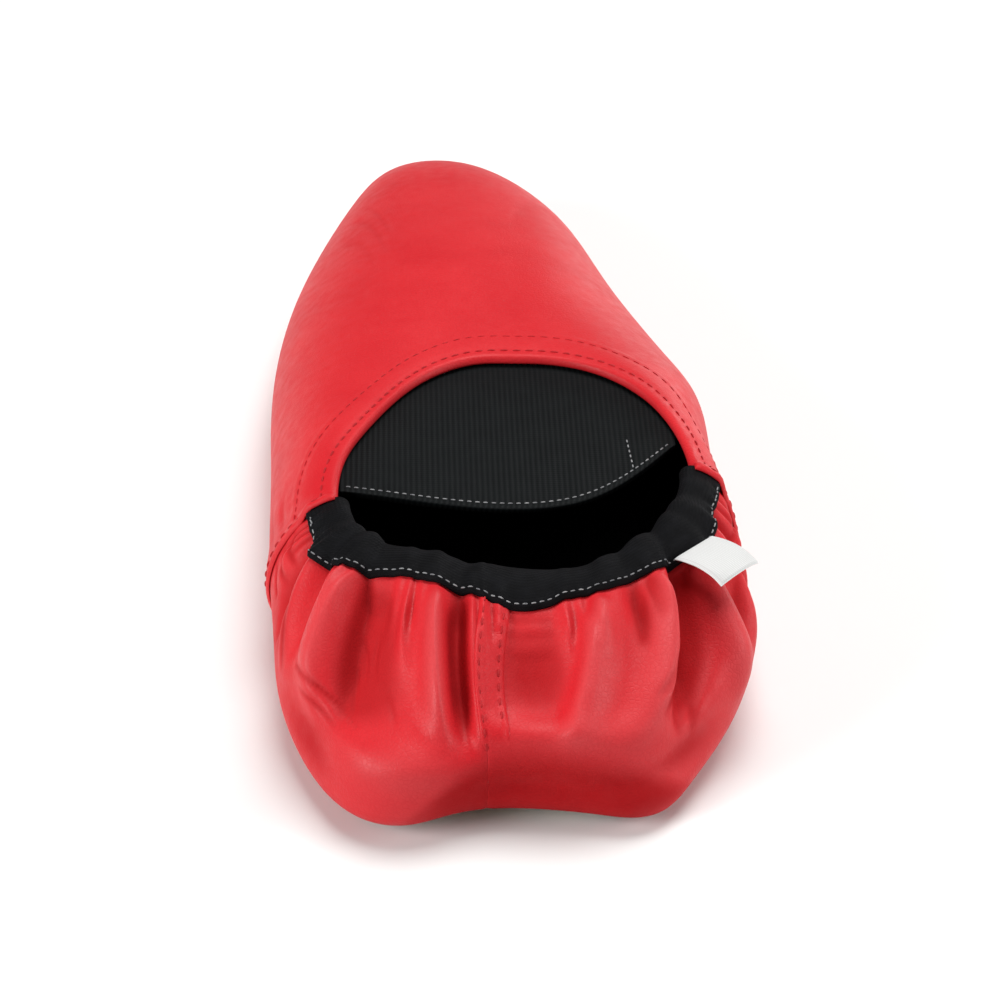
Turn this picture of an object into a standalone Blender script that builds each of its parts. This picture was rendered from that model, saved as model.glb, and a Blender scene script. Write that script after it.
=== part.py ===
"""Right gymnastics slipper, empty: gathered leather upper, elastic gusset and collar, thin full sole.

+X is the outer side, +Y the toe, +Z up, and the sole's flat spots lie on z = 0. Metres.
The upper is one ring of bends: ring place 0 is the back seam, 8 the toe, and places count the table's
rows round the outer side first. Wall height 0 is the sole's edge, 1 the opening's edge.
"""
import bmesh
import bpy
import numpy as np

# Driving sizes
LENGTH = 0.214
BALL_WIDTH = 0.079
INSTEP_HEIGHT = 0.032
HEEL_HEIGHT = 0.030
WALL = 0.0013
GAP = 0.0003
# The plan's middle, measured from the heel and from the foot's centre line
MIDDLE_X = 0.0037
MIDDLE_Y = 0.1065

# Sole
SOLE_THICK = 0.0022
INSOLE_THICK = 0.0010
INSOLE_INSET = 0.0010
TOE_SPRING = 0.0040
TOE_BREAK = 0.76
ARCH_RISE = 0.0022
ARCH_PLACE = 0.38
ARCH_SPREAD = 0.19
ARCH_FADES_AT = 0.6
HEEL_CURL = 0.0022
HEEL_BREAK = 0.10
HEEL_END = 0.015
HEEL_CURL_WIDTH = 0.30
# Half of the ring stretch that the heel's and the toe's end rows follow, and faces of the sole's grid
HEEL_ARC = 1.3
TOE_ARC = 0.7
SOLE_ALONG = 30
SOLE_ACROSS = 8

# Seams that show as steps in the wall, as ring places
RIM_RISE = 0.0021
SEAM_OUT = 3.0
SEAM_IN = 13.0
LAP_RISE = 0.0008
LAP_FADE = 0.45
STRIP_LEFT = -0.03
STRIP_RIGHT = 0.27
STRIP_RISE = 0.0006
STEP_EDGE = 0.006

# Mesh of the upper: faces in each stretch of the ring, and up the wall
QUARTER_FACES = 34
STRIP_FACES = 3
VAMP_FACES = 48
WALL_FACES = 11

# Collar binding and label
TAPE = 0.0009
BINDING_DEPTH = 0.0062
LEAF_FACES = 3
BINDING_END = 0.03
LABEL_FROM = 1.96
LABEL_TO = 2.58
LABEL_CLEAR = 0.0016
LABEL_DROP = 0.0065
LABEL_FLARE = 0.0022
LABEL_THICK = 0.0008
LABEL_FACES = 4

# Elastic gusset
GUSSET_OUT = 4.0
GUSSET_IN = 12.4
GUSSET_THICK = 0.0010
GUSSET_MARGIN = 0.006
GUSSET_SAG = 0.0130
GUSSET_DIP = 0.0012
GUSSET_END_CLEAR = 0.0020
GUSSET_FACES = 30

MERGE = 1e-6
# Stretch of wall height that trim along the opening may lie in
PAST_EDGE = 1.2
LOWEST_TRIM = 0.2
TRIM_STEPS = 81

# Columns of the section table, each in percent of its unit
UNITS = {
    "foot_x": BALL_WIDTH, "foot_y": LENGTH, "out": BALL_WIDTH, "up": INSTEP_HEIGHT,
    "edge_x": BALL_WIDTH, "edge_y": LENGTH, "edge_z": 1.0,
    "reach": 1.0, "swell": BALL_WIDTH, "rise": INSTEP_HEIGHT,
}
SECTIONS = {
    "heel_back": (-3, 2.6, 20, 22, -2, 14.5, 99, 45, 0, 6),
    "heel_corner_out": (24, 2.5, 18, 20, 20, 14.5, 97, 45, 0, 6),
    "quarter_out": (41, 10, 18, 20, 37, 20.4, 99, 25, 7, 4),
    "side_seam_out": (47, 24.8, 19, 24, 44, 27.4, 98, 5, 11, -6),
    "waist_out": (44.5, 41.5, 18, 28, 39.5, 35.7, 99, 20, 9, 3),
    "ball_out": (38.5, 61, 16, 32, 27, 41.4, 100, 40, 3, 8),
    "toe_bend_out": (25, 81, 14, 42, 14, 44.0, 100, 58, 0, 6),
    "toe_corner_out": (8, 95, 14, 48, 6, 45.0, 100, 62, 0, 4),
    "toe_tip": (-11, 98.8, 13, 48, -1, 45.0, 100, 62, 0, 4),
    "toe_corner_in": (-26, 95, 12, 48, -9, 44.0, 100, 62, 0, 4),
    "toe_bend_in": (-38.5, 79, 15, 40, -18, 40.8, 100, 56, 0, 6),
    "ball_in": (-43, 58, 17, 33, -27, 34.9, 100, 40, 3, 8),
    "waist_in": (-40, 39.5, 18, 28, -32, 29.8, 99, 25, 7, 4),
    "side_seam_in": (-37.5, 24.8, 19, 24, -32.5, 23.9, 98, 5, 10, -6),
    "quarter_in": (-36, 11.4, 20, 20, -28, 19.2, 100, 25, 6, 4),
    "heel_corner_in": (-25, 2.5, 18, 20, -18, 16.6, 101, 45, 0, 6),
}
ROWS = len(SECTIONS)
TABLE = np.array(list(SECTIONS.values())) * np.array(list(UNITS.values())) / 100
THROAT_PLACE = 0.44 * LENGTH

# Gathers of the quarters: ring place at the collar and at the low end, wall height of the low end,
# half width in ring places, and height in metres, a ridge above zero and a trough below
FOLDS = {
    "inner_side_trough": (-2.30, -2.25, 0.40, 0.24, -0.0009),
    "inner_ridge": (-1.76, -1.85, 0.30, 0.25, 0.0012),
    "inner_trough": (-1.24, -1.26, 0.34, 0.22, -0.0014),
    "tall_ridge": (-0.76, -0.44, 0.30, 0.21, 0.0016),
    "deep_valley": (-0.30, -0.10, 0.26, 0.19, -0.0015),
    "dished_panel": (0.54, 0.50, 0.34, 0.20, -0.0008),
    "outer_ridge": (0.92, 0.68, 0.34, 0.19, 0.0013),
    "outer_trough": (1.24, 1.26, 0.46, 0.18, -0.0011),
    "broad_ridge": (1.58, 1.30, 0.32, 0.22, 0.0013),
    "side_valley": (1.92, 1.54, 0.32, 0.20, -0.0013),
    "side_ridge": (2.26, 2.34, 0.24, 0.22, 0.0011),
    "outer_side_trough": (2.64, 2.66, 0.36, 0.20, -0.0009),
}
# Wall height over which a gather rises from its low end, and what the elastic leaves of it at the edge
FOLD_RUN_OUT = 0.30
FOLD_CALM_FROM = 0.70
FOLD_AT_EDGE = 0.45


def smooth(t):
    """Soft step from 0 to 1."""
    t = np.clip(t, 0, 1)
    return t * t * (3 - 2 * t)


def closed_bends(rows):
    """Second differences of the closed cubic curve through evenly spaced rows."""
    unit = np.eye(len(rows))
    system = 4 * unit + np.roll(unit, 1, 0) + np.roll(unit, -1, 0)
    return np.linalg.solve(system, 6 * (np.roll(rows, -1, 0) - 2 * rows + np.roll(rows, 1, 0)))


BENDS = closed_bends(TABLE)


def section_at(place):
    """Section values at ring places, with their slope along the ring."""
    first = np.floor(place).astype(int) % ROWS
    after = (first + 1) % ROWS
    t = (place - np.floor(place))[..., None]
    s = 1 - t
    a, b, bend_a, bend_b = TABLE[first], TABLE[after], BENDS[first], BENDS[after]
    value = s * a + t * b + ((s ** 3 - s) * bend_a + (t ** 3 - t) * bend_b) / 6
    slope = b - a + ((1 - 3 * s ** 2) * bend_a + (3 * t ** 2 - 1) * bend_b) / 6
    return value, slope


def sole_lift(x, y):
    """Height of the sole's underside: toe spring, arch of the inner side and the heel's curled edge."""
    along = y / LENGTH
    toe = np.clip((along - TOE_BREAK) / (1 - TOE_BREAK), 0, 1) ** 2
    arch = smooth(1 - np.abs(along - ARCH_PLACE) / ARCH_SPREAD) * smooth(ARCH_FADES_AT - x / BALL_WIDTH)
    heel = np.clip((HEEL_BREAK - along) / (HEEL_BREAK - HEEL_END), 0, 1) ** 2
    heel = heel * np.clip(1 - (x / (HEEL_CURL_WIDTH * BALL_WIDTH)) ** 2, 0, 1)
    return TOE_SPRING * toe + ARCH_RISE * arch + HEEL_CURL * heel


def foot_line(place, inset=0.0):
    """Sole's edge in plan at ring places, and the outward direction there."""
    value, slope = section_at(np.asarray(place, float))
    run = np.hypot(slope[..., 0], slope[..., 1])
    outward = np.stack([slope[..., 1], -slope[..., 0]], -1) / run[..., None]
    return value[..., :2] - inset * outward, outward


def plain_wall(place, height):
    """Lining face without folds: from the sole's edge out over the belly and in to the opening's edge."""
    place, height = np.broadcast_arrays(np.asarray(place, float), np.asarray(height, float))
    value = section_at(place)[0]
    out, up, edge_x, edge_y, edge_z, reach, swell, rise = np.moveaxis(value[..., 2:], -1, 0)
    foot, outward = foot_line(place)
    foot_z = sole_lift(foot[..., 0], foot[..., 1]) + RIM_RISE
    rim_height = HEEL_HEIGHT + (INSTEP_HEIGHT - HEEL_HEIGHT) * smooth(edge_y / THROAT_PLACE)
    start = np.concatenate([foot, foot_z[..., None]], -1)
    belly = np.concatenate([foot + outward * out[..., None], (foot_z + up)[..., None]], -1)
    end = np.stack([edge_x, edge_y, edge_z * rim_height], -1)
    brow = end + (start - end) * reach[..., None]
    brow[..., :2] += outward * swell[..., None]
    brow[..., 2] = end[..., 2] + rise
    t = height[..., None]
    s = 1 - t
    return s ** 3 * start + 3 * s * s * t * belly + 3 * s * t * t * brow + t ** 3 * end


def direction_out(surface, place, height, step=1e-3):
    """Unit normals of a surface of ring place and wall height."""
    along = surface(place + step, height) - surface(place - step, height)
    upward = surface(place, height + step) - surface(place, height - step)
    normal = np.cross(along, upward)
    return normal / np.linalg.norm(normal, axis=-1, keepdims=True)


def fold_height(place, height):
    """How far the gathers stand out of the plain wall."""
    near = (place + ROWS / 2) % ROWS - ROWS / 2
    calm = 1 - (1 - FOLD_AT_EDGE) * smooth((height - FOLD_CALM_FROM) / (1 - FOLD_CALM_FROM))
    total = np.zeros(np.broadcast(place, height).shape)
    for top, foot, low, width, rise in FOLDS.values():
        middle = foot + (top - foot) * np.clip((height - low) / (1 - low), 0, 1)
        total += rise * np.exp(-((near - middle) / width) ** 2) * smooth((height - low) / FOLD_RUN_OUT)
    return total * calm


def lining(place, height):
    """Lining face of the upper with its gathers."""
    place = np.asarray(place, float)
    height = np.asarray(height, float)
    outward = direction_out(plain_wall, place, height)
    return plain_wall(place, height) + fold_height(place, height)[..., None] * outward


def beside(place, height, offset):
    """Points at a distance from the lining face, outward above zero."""
    return lining(place, height) + np.asarray(offset)[..., None] * direction_out(lining, place, height)


def height_at(place, depth):
    """Wall height that lies a given depth below the opening's edge, measured along the wall."""
    heights = np.linspace(PAST_EDGE, LOWEST_TRIM, TRIM_STEPS)
    line = lining(place[:, None], heights[None, :])
    steps = np.linalg.norm(np.diff(line, axis=1), axis=-1)
    run = np.concatenate([np.zeros((len(place), 1)), np.cumsum(steps, axis=1)], 1)
    at_edge = [np.interp(PAST_EDGE - 1.0, PAST_EDGE - heights, row) for row in run]
    return np.array([np.interp(depth + zero, row, heights) for zero, row in zip(at_edge, run)])


def wall_thickness(place):
    """Leather's thickness round the ring: raised back strip, and the vamp lapped over the quarters."""
    place = np.asarray(place)
    strip = (place > STRIP_LEFT) & (place < STRIP_RIGHT)
    from_seam = np.minimum(np.abs(place - SEAM_OUT), np.abs(place - SEAM_IN))
    on_vamp = (place > SEAM_OUT) & (place < SEAM_IN)
    return WALL + STRIP_RISE * strip + LAP_RISE * on_vamp * smooth(1 - from_seam / LAP_FADE)


def ring_columns():
    """Ring places of the upper's columns, doubled where the wall has a step."""
    breaks = [SEAM_IN - ROWS, STRIP_LEFT, STRIP_RIGHT, SEAM_OUT, SEAM_IN]
    faces = [QUARTER_FACES, STRIP_FACES, QUARTER_FACES, VAMP_FACES]
    places = []
    for start, end, count in zip(breaks, breaks[1:], faces):
        places.extend(np.linspace(start + STEP_EDGE, end - STEP_EDGE, count + 1))
    places.append(SEAM_IN + STEP_EDGE)
    return np.array(places)


def grid_mesh(name, points, weights=None):
    """Mesh of a grid whose vertex (i, j) lies at points[i, j], with meeting edges welded."""
    columns, rows = points.shape[0] - 1, points.shape[1] - 1
    middle = np.array([MIDDLE_X, MIDDLE_Y, 0.0])
    bm = bmesh.new()
    bmesh.ops.create_grid(bm, x_segments=columns, y_segments=rows, size=1)
    group = bm.verts.layers.deform.verify()
    for vert in bm.verts:
        i = round((vert.co.x + 1) / 2 * columns)
        j = round((vert.co.y + 1) / 2 * rows)
        vert.co = points[i, j] - middle
        vert[group][0] = 1.0 if weights is None else weights[i]
    bmesh.ops.remove_doubles(bm, verts=bm.verts, dist=MERGE)
    bmesh.ops.dissolve_degenerate(bm, edges=bm.edges, dist=MERGE)
    mesh = bpy.data.meshes.new(name)
    bm.to_mesh(mesh)
    bm.free()
    mesh.shade_smooth()
    return mesh


def add_sheet(name, points, thickness, side, material, weights=None):
    """Node made of an open grid that Solidify thickens to one side, 1 with its normals and -1 against."""
    obj = bpy.data.objects.new(name, grid_mesh(name, points, weights))
    collection.objects.link(obj)
    obj.vertex_groups.new(name="wall")
    solidify = obj.modifiers.new("wall", "SOLIDIFY")
    solidify.thickness = thickness
    solidify.offset = side
    solidify.vertex_group = "wall"
    obj.data.materials.append(material)
    return obj


def material(name, colour, roughness):
    """Plain Principled finish."""
    made = bpy.data.materials.new(name)
    made.use_nodes = True
    shader = made.node_tree.nodes["Principled BSDF"]
    shader.inputs["Base Color"].default_value = (*colour, 1.0)
    shader.inputs["Roughness"].default_value = roughness
    shader.inputs["Metallic"].default_value = 0.0
    return made


def sole_points(inset, rise):
    """Grid of a full sole, heel to toe and outer to inner edge, at a height above the underside."""
    share = np.linspace(0, 1, SOLE_ACROSS + 1)[:, None]
    toe_place = ROWS / 2
    places = np.linspace(HEEL_ARC, toe_place - TOE_ARC, SOLE_ALONG + 1)[1:-1]
    rows = [foot_line(HEEL_ARC * (1 - 2 * share[:, 0]), inset)[0]]
    for place in places:
        outer_edge, inner_edge = foot_line(np.array([place, -place]), inset)[0]
        rows.append(outer_edge * (1 - share) + inner_edge * share)
    rows.append(foot_line(toe_place - TOE_ARC * (1 - 2 * share[:, 0]), inset)[0])
    plan = np.stack(rows)
    height = sole_lift(plan[..., 0], plan[..., 1]) + rise
    return np.concatenate([plan, height[..., None]], -1)


def add_upper():
    places = ring_columns()
    heights = np.linspace(0, 1, WALL_FACES + 1)
    thick = wall_thickness(places)
    thick[-1] = thick[0]
    points = lining(places[:, None], heights[None, :])
    leather = material("red_leather", (0.62, 0.03, 0.035), 0.45)
    add_sheet("upper", points, thick.max(), 1, leather, thick / thick.max())


def add_soles():
    suede = material("suede", (0.40, 0.30, 0.21), 0.9)
    sock = material("black_textile", (0.012, 0.012, 0.014), 0.85)
    add_sheet("outsole", sole_points(GAP, 0.0), SOLE_THICK, 1, suede)
    add_sheet("insole", sole_points(INSOLE_INSET, SOLE_THICK + GAP), INSOLE_THICK, 1, sock)


def add_gusset():
    """Elastic panel: a hidden margin under the vamp, then taut to its free rear edge."""
    places = np.linspace(GUSSET_OUT, GUSSET_IN, GUSSET_FACES + 1)
    hidden = [beside(places, height_at(places, depth), np.full(len(places), -GAP))
              for depth in (GUSSET_MARGIN, GUSSET_MARGIN / 2, 0.0)]
    throat = hidden[-1]
    share = np.linspace(0, 1, len(places))[:, None]
    rear = throat[0] * (1 - share) + throat[-1] * share
    bow = 4 * share * (1 - share)
    rear = rear - bow * np.array([0.0, GUSSET_SAG, GUSSET_DIP]) - np.array([0.0, GUSSET_END_CLEAR, 0.0])
    taut = [throat + (rear - throat) * t for t in (0.25, 0.5, 0.75, 1.0)]
    elastic = material("black_elastic", (0.014, 0.017, 0.018), 0.7)
    add_sheet("elastic_gusset", np.stack(hidden + taut, 1), GUSSET_THICK, -1, elastic)


def add_binding():
    """Elastic tape folded over the collar's edge, outer leaf first, then over the edge and down inside."""
    places = ring_columns()
    places = np.clip(places[places < SEAM_OUT], SEAM_IN - ROWS + BINDING_END, SEAM_OUT - BINDING_END)
    depths = np.linspace(BINDING_DEPTH, 0, LEAF_FACES + 1)
    outside = wall_thickness(places).max() + GAP
    path = [(depth, outside) for depth in depths]
    path += [(-GAP - TAPE / 3, outside / 2)]
    path += [(depth, -GAP) for depth in depths[::-1]]
    rows = [beside(places, height_at(places, depth), np.full(len(places), offset)) for depth, offset in path]
    tape = material("black_binding", (0.010, 0.010, 0.012), 0.85)
    add_sheet("collar_binding", np.stack(rows, 1), TAPE, 1, tape)


def add_label():
    """Blank folded label that hangs from under the binding on the outer side."""
    places = np.linspace(LABEL_FROM, LABEL_TO, LABEL_FACES + 1)
    rows = []
    for drop in np.linspace(1, 0, LABEL_FACES + 1):
        depth = BINDING_DEPTH + LABEL_CLEAR + drop * LABEL_DROP
        offset = WALL + GAP + LABEL_FLARE * drop ** 2
        rows.append(beside(places, height_at(places, depth), np.full(len(places), offset)))
    woven = material("white_label", (0.80, 0.80, 0.78), 0.7)
    add_sheet("label_tab", np.stack(rows, 1), LABEL_THICK, 1, woven)


for old in list(bpy.data.objects):
    bpy.data.objects.remove(old)
collection = bpy.data.collections.new("gymnastics_slipper")
bpy.context.scene.collection.children.link(collection)

add_soles()
add_upper()
add_gusset()
add_binding()
add_label()
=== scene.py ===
"""Looks of the right gymnastics slipper: gathered leather panels, elastic trim, stitching, suede sole.

Sizes, sections and the plain wall are those of the part's source, with finer gathers laid on top.
Ring place 0 is the back seam and 8 the toe, counted round the outer side first. Wall height 0 is the
sole's edge and 1 the opening's edge. Metres, in the source's axes, which mesh_object moves to the frame's.
"""

import bpy
import numpy as np
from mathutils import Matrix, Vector


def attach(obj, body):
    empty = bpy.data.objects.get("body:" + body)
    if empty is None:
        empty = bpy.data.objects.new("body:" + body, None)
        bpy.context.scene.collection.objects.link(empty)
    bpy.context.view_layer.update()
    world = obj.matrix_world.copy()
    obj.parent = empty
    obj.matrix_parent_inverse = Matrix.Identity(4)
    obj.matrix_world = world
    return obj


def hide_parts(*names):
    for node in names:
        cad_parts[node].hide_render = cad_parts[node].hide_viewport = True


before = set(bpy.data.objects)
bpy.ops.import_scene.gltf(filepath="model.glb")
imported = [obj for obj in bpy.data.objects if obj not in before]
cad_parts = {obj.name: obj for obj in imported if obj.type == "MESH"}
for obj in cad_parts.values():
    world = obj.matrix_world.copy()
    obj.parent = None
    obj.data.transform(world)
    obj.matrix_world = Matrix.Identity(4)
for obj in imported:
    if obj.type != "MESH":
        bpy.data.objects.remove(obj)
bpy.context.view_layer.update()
MM = 0.001

# Driving sizes, as in the part's source
LENGTH = 214 * MM
BALL_WIDTH = 79 * MM
INSTEP_HEIGHT = 32 * MM
HEEL_HEIGHT = 30 * MM
WALL = 1.3 * MM
GAP = 0.3 * MM
MIDDLE = np.array([3.7, 106.5, 0.0]) * MM

# Lining: thickness, room to the leather, width of its foot's flange, and wall heights of its foot and top.
# Its close columns reach past the side seams, where it changes from the quarters' face to the vamp's
LINING = 0.35 * MM
LINING_CLEAR = 0.12 * MM
LINING_FLANGE = 2.5 * MM
LINING_FOOT = 0.085
LINING_TOP = 0.985
LINING_PAST_SEAM = 0.4
LINING_CHANGE = 1.2

# Sole
SOLE_THICK = 2.2 * MM
INSOLE_THICK = 1.0 * MM
INSOLE_INSET = 1.0 * MM
TOE_SPRING = 4.0 * MM
TOE_BREAK = 0.76
ARCH_RISE = 2.2 * MM
ARCH_PLACE = 0.38
ARCH_SPREAD = 0.19
ARCH_FADES_AT = 0.6
HEEL_CURL = 2.2 * MM
HEEL_BREAK = 0.10
HEEL_END = 0.015
HEEL_CURL_WIDTH = 0.30
HEEL_ARC = 1.3
TOE_ARC = 0.7
SOLE_ALONG = 150
SOLE_ACROSS = 44
SOLE_ROUND = 0.9 * MM
SOLE_STITCH = 3.0 * MM
SOLE_STITCH_IN = 2.6 * MM
SOLE_GROOVE = 0.5 * MM
SOLE_STITCH_SUNK = 0.8 * SOLE_GROOVE
SOLE_EDGE_LOW = 0.4
SOLE_EDGE_HIGH = 0.3

# Seams: ring places, wall heights and rises
RIM_RISE = 2.1 * MM
SEAM_OUT = 3.0
SEAM_IN = 13.0
LAP_RISE = 0.8 * MM
LAP_FADE = 0.45
LAP_INNER_FADE = 0.6 * LAP_FADE
LAP_CLEAR = 0.15 * MM
UNDER_LAP = 0.10
CORNER_RISE = 1.3 * MM
CORNER_REACH = 0.16
CORNER_FADES_AT = 1.6
CORNER_FROM = 0.76
CORNER_RUN = 0.12
STRIP_LEFT = -0.03
STRIP_RIGHT = 0.27
BACK_SEAM = 0.02
BACK_GROOVE = 0.12 * MM
BACK_GROOVE_HALF = 0.03
STRIP_LOW = 0.33
STRIP_BOW = -0.09
STRIP_BOW_AT = 0.60
STRIP_BOW_SPREAD = 0.20
STRIP_RISE = 0.42 * MM
STRIP_SUNK = 0.3 * MM
STRIP_FADE = 0.16
STRIP_TAIL = 0.04
STRIP_ROUND = 0.7 * MM
STRIP_EDGE_LEFT = 0.15

# Columns of the section table, each in percent of its unit
UNITS = {
    "foot_x": BALL_WIDTH, "foot_y": LENGTH, "out": BALL_WIDTH, "up": INSTEP_HEIGHT,
    "edge_x": BALL_WIDTH, "edge_y": LENGTH, "edge_z": 1.0,
    "reach": 1.0, "swell": BALL_WIDTH, "rise": INSTEP_HEIGHT,
}
SECTIONS = {
    "heel_back": (-3, 2.6, 20, 22, -2, 14.5, 99, 45, 0, 6),
    "heel_corner_out": (24, 2.5, 18, 20, 20, 14.5, 97, 45, 0, 6),
    "quarter_out": (41, 10, 18, 20, 37, 20.4, 99, 25, 7, 4),
    "side_seam_out": (47, 24.8, 19, 24, 44, 27.4, 98, 5, 11, -6),
    "waist_out": (44.5, 41.5, 18, 28, 39.5, 35.7, 99, 20, 9, 3),
    "ball_out": (38.5, 61, 16, 32, 27, 41.4, 100, 40, 3, 8),
    "toe_bend_out": (25, 81, 14, 42, 14, 44.0, 100, 58, 0, 6),
    "toe_corner_out": (8, 95, 14, 48, 6, 45.0, 100, 62, 0, 4),
    "toe_tip": (-11, 98.8, 13, 48, -1, 45.0, 100, 62, 0, 4),
    "toe_corner_in": (-26, 95, 12, 48, -9, 44.0, 100, 62, 0, 4),
    "toe_bend_in": (-38.5, 79, 15, 40, -18, 40.8, 100, 56, 0, 6),
    "ball_in": (-43, 58, 17, 33, -27, 34.9, 100, 40, 3, 8),
    "waist_in": (-40, 39.5, 18, 28, -32, 29.8, 99, 25, 7, 4),
    "side_seam_in": (-37.5, 24.8, 19, 24, -32.5, 23.9, 98, 5, 10, -6),
    "quarter_in": (-36, 11.4, 20, 20, -28, 19.2, 100, 25, 6, 4),
    "heel_corner_in": (-25, 2.5, 18, 20, -18, 16.6, 101, 45, 0, 6),
}
ROWS = len(SECTIONS)
TABLE = np.array(list(SECTIONS.values())) * np.array(list(UNITS.values())) / 100
THROAT_PLACE = 0.44 * LENGTH

# Wall height down to which depths below the opening's edge are measured, and the steps on the way
DEPTH_END = 0.15
DEPTH_STEPS = 120

# Throat's edge, cut back a little: ring place, half width and cut in mm
THROAT_CUTS = ((5.4, 1.3, 3.2), (8.0, 1.2, 1.0))

# Gathers of the quarters: ring place at the collar, halfway and at the low end, wall height of the low end,
# half width to the left and to the right in ring places, and rise in mm
GATHERS = {
    "inner_seam_pleat": (-2.8, -2.78, -2.72, 0.46, 0.09, 0.1, 1.0),
    "inner_side_trough": (-2.52, -2.46, -2.3, 0.36, 0.12, 0.14, -2.0),
    "inner_side_ridge": (-2.2, -2.12, -1.98, 0.34, 0.14, 0.12, 1.5),
    "inner_side_valley": (-1.98, -1.9, -1.8, 0.4, 0.08, 0.1, -1.4),
    "inner_ridge": (-1.7, -1.58, -1.44, 0.34, 0.2, 0.12, 3.1),
    "inner_trough": (-1.42, -1.31, -1.12, 0.36, 0.09, 0.42, -4.5),
    "inner_small_ridge": (-0.94, -0.86, -0.72, 0.52, 0.08, 0.09, 1.4),
    "tall_ridge": (-0.55, -0.49, -0.4, 0.34, 0.14, 0.1, 3.7),
    "deep_valley": (-0.18, -0.29, -0.12, 0.32, 0.12, 0.09, -3.2),
    "strip_bank": (-0.02, -0.13, -0.03, 0.34, 0.06, 0.12, 1.2),
    "thin_ridge": (0.75, 0.73, 0.69, 0.56, 0.05, 0.06, 0.9),
    "outer_ridge": (1.14, 0.86, 0.62, 0.34, 0.09, 0.2, 3.4),
    "outer_notch": (1.36, 1.29, 1.22, 0.66, 0.08, 0.1, -2.8),
    "broad_ridge": (1.58, 1.48, 0.98, 0.34, 0.22, 0.11, 3.2),
    "side_valley": (1.84, 1.66, 1.34, 0.34, 0.09, 0.18, -6.2),
    "side_ridge": (1.98, 1.95, 2.06, 0.26, 0.12, 0.14, 2.2),
    "far_valley": (2.18, 2.17, 2.2, 0.36, 0.07, 0.08, -1.4),
    "far_ridge": (2.32, 2.32, 2.31, 0.3, 0.1, 0.1, 1.4),
    "outer_side_trough": (2.56, 2.54, 2.48, 0.34, 0.12, 0.13, -2.0),
    "outer_seam_pleat": (2.8, 2.78, 2.72, 0.46, 0.1, 0.09, 1.0),
}

# Run of a gather's low end, share of a ridge that the leather's inner face follows, and the wall height, run
# and share of the calmer band under the binding
GATHER_RUN_OUT = 0.22
GATHER_INSIDE = 0.6
CALM_FROM = 0.74
CALM_RUN = 0.14
CALM_TO = 0.17

# Painted shade in the gathers' hollows: share, and the depth where it starts and its run
HOLLOW_SHADE = 0.80
HOLLOW_SHADE_FROM = 0.2 * MM
HOLLOW_SHADE_RUN = 2.4 * MM

# Painted highlight on the ridges, a paler tone in place of their sheen: the rise where it starts and its run
HIGHLIGHT_FROM = 0.3 * MM
HIGHLIGHT_RUN = 3.0 * MM

# Painted shade on the heel's lowest band, darker towards the sole: share, ring place and reach, wall height
# where it ends, how far that end sinks towards the sides, and how crisp its end and its sides are
LOW_SHADE = 1.0
LOW_SHADE_AT = 0.42
LOW_SHADE_REACH = 1.35
LOW_SHADE_TOP = 0.44
LOW_SHADE_BEND = 0.98
LOW_SHADE_CRISP = 2.9
LOW_SHADE_SIDES = 2.0

# Painted shade in fine creases: share on the quarters and on the vamp, and the depth where it is full
CREASE_SHADE = 0.8
VAMP_CREASE_SHADE = 0.2
CREASE_FULL = 0.4 * MM

# Puckers just under the binding: ring places of a wave and of its drift, drift in waves, rise and wall height
PUCKER_WAVE = 0.21
PUCKER_DRIFT = 0.83
PUCKER_SWAY = 0.35
PUCKER_RISE = 0.34 * MM
PUCKER_HEIGHT = 0.78
PUCKER_SPREAD = 0.09

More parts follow.
